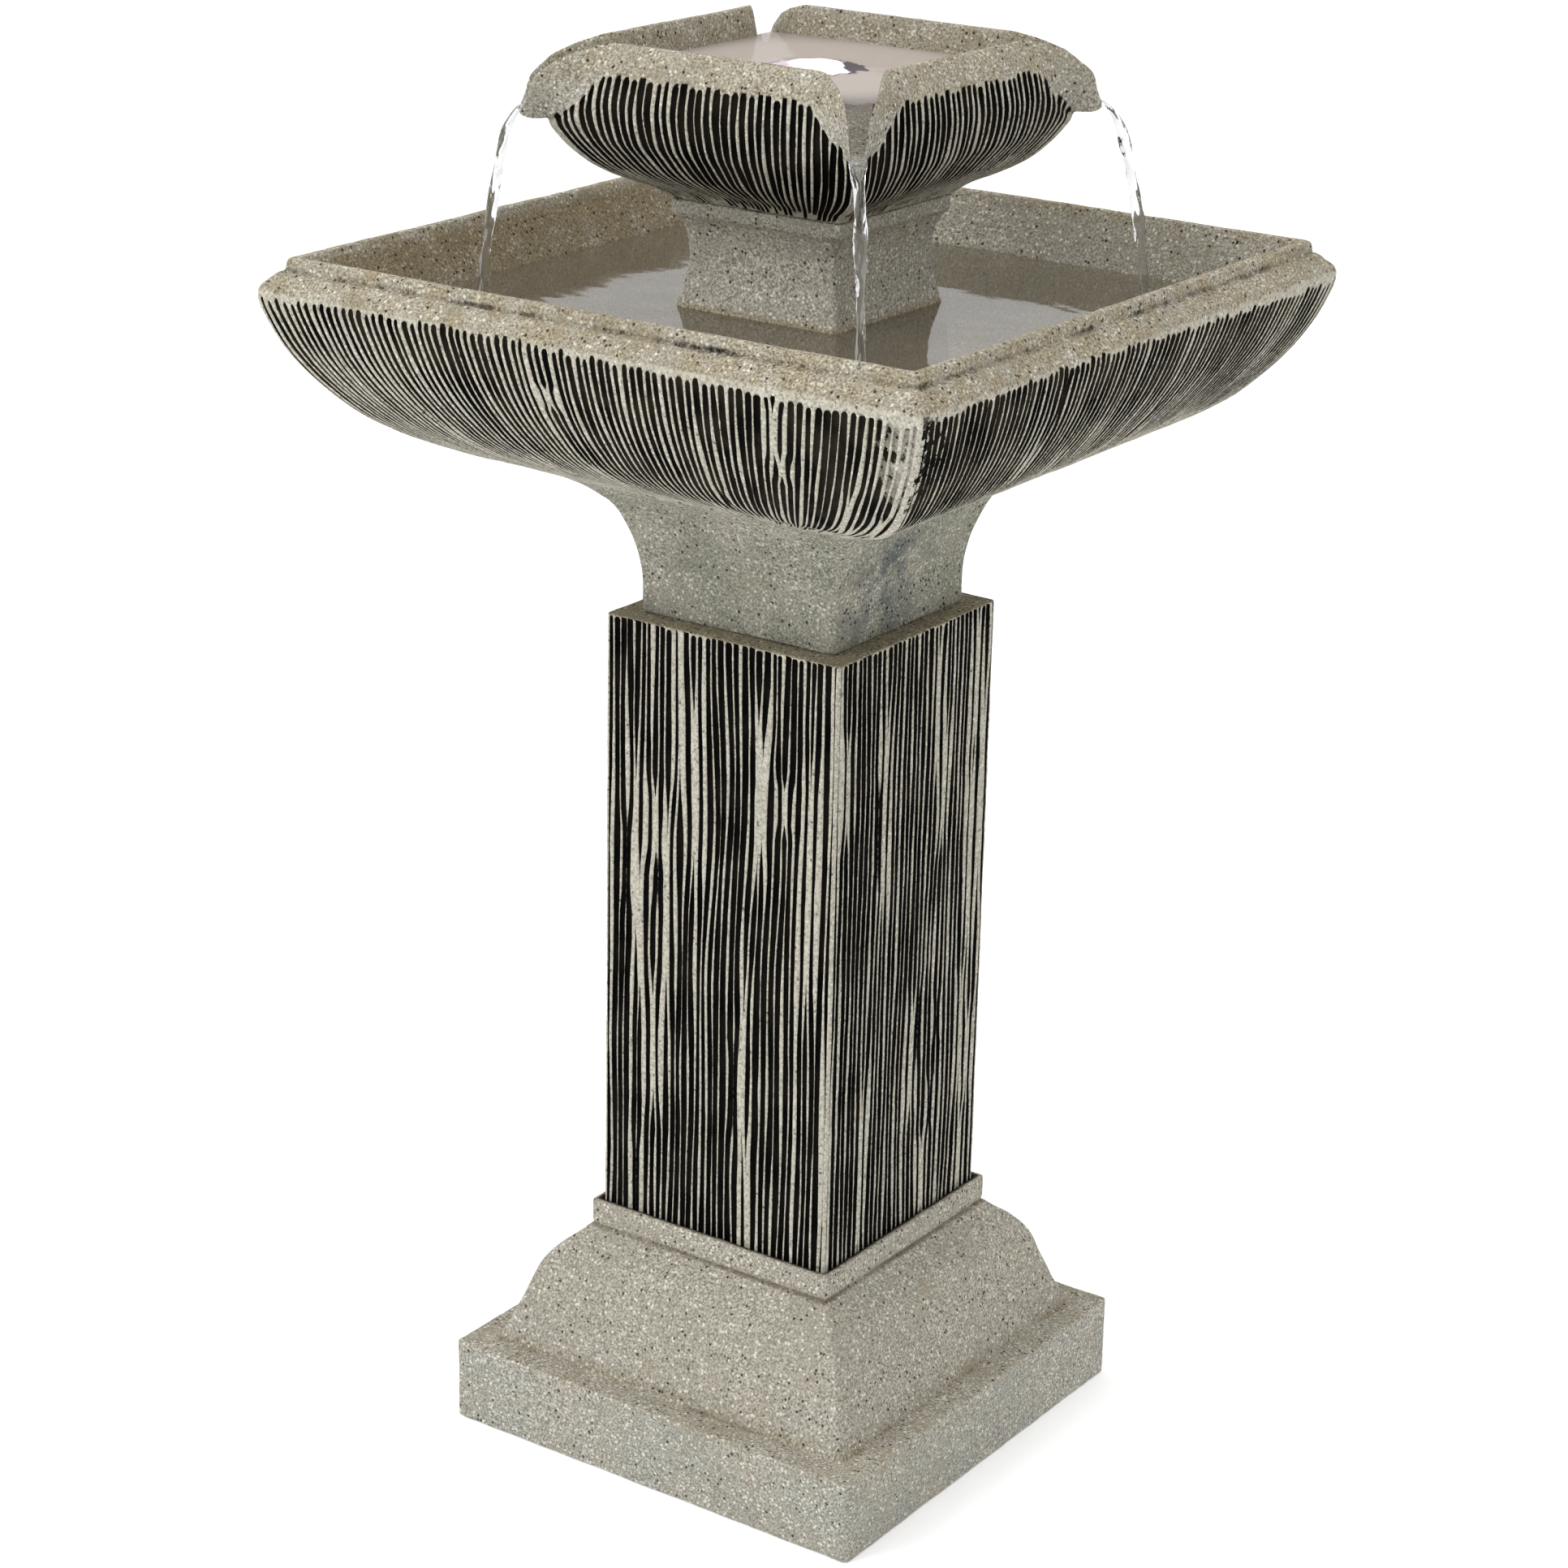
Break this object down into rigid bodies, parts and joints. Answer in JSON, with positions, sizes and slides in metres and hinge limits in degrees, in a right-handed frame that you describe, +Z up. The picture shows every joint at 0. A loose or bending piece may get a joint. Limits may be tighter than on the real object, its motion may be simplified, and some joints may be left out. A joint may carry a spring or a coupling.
{
  "type": "two-tier garden water fountain",
  "caption": "Cast-stone pedestal fountain: ribbed square pillar and basin, with a small ribbed bowl above that spills from its corners.",
  "frame": {"origin": "on the ground, under the middle of the base", "axes": "+Z up, -Y the front, the base's rear cord notch on +Y; faces of the square castings lie along X and Y"},
  "size_m": [0.488, 0.488, 0.94],
  "materials": {
    "cast_stone": "matte",
    "ribbed_stone": "matte",
    "black_rubber": "matte",
    "clear_rubber": "satin",
    "black_plastic": "satin",
    "grey_plastic": "satin",
    "white_plastic": "satin",
    "circuit_board": "satin",
    "lamp": "gloss",
    "clear_lens": "gloss",
    "clear_hose": "gloss",
    "magnet": "satin",
    "ceramic": "gloss",
    "foam": "matte"
  },
  "bodies": {
    "stand": {"base_pedestal": "cast_stone", "pillar": "ribbed_stone", "lower_basin": "ribbed_stone", "cord_stopper": "black_rubber", "outlet_adapter": "black_plastic", "pump_housing": "black_plastic", "pump_cord_gland": "black_rubber", "volute_cover": "black_plastic", "impeller_shaft": "ceramic", "shaft_bushes": "black_rubber", "strainer_cover": "black_plastic", "intake_foam": "foam", "suction_cups": "clear_rubber"},
    "riser": {"riser_block": "cast_stone"},
    "upper_tier": {"upper_bowl": "ribbed_stone", "bowl_nozzle": "black_plastic", "nozzle_seal": "black_rubber", "nozzle_nut": "black_plastic", "led_ring_housing": "black_plastic", "led_board": "circuit_board", "led_diodes": "lamp", "led_ring_lens": "clear_lens", "led_grommet": "black_rubber", "riser_tube": "clear_hose"},
    "rotor": {"impeller": "white_plastic", "rotor_magnet": "magnet"},
    "dial": {"flow_dial": "grey_plastic"}
  },
  "joints": [
    {"name": "riser_lift", "type": "slide", "parent": "stand", "child": "riser", "axis": [0, 0, 1], "range_m": [0, 0.15]},
    {"name": "bowl_lift", "type": "slide", "parent": "riser", "child": "upper_tier", "axis": [0, 0, 1], "range_m": [0, 0.12]},
    {"name": "rotor_spin", "type": "hinge", "parent": "stand", "child": "rotor", "pos_m": [0, 0, 0.7335], "axis": [1, 0, 0], "continuous": true},
    {"name": "dial_turn", "type": "hinge", "parent": "stand", "child": "dial", "pos_m": [0.03, 0, 0.7335], "axis": [1, 0, 0], "range_deg": [0, 60]}
  ]
}
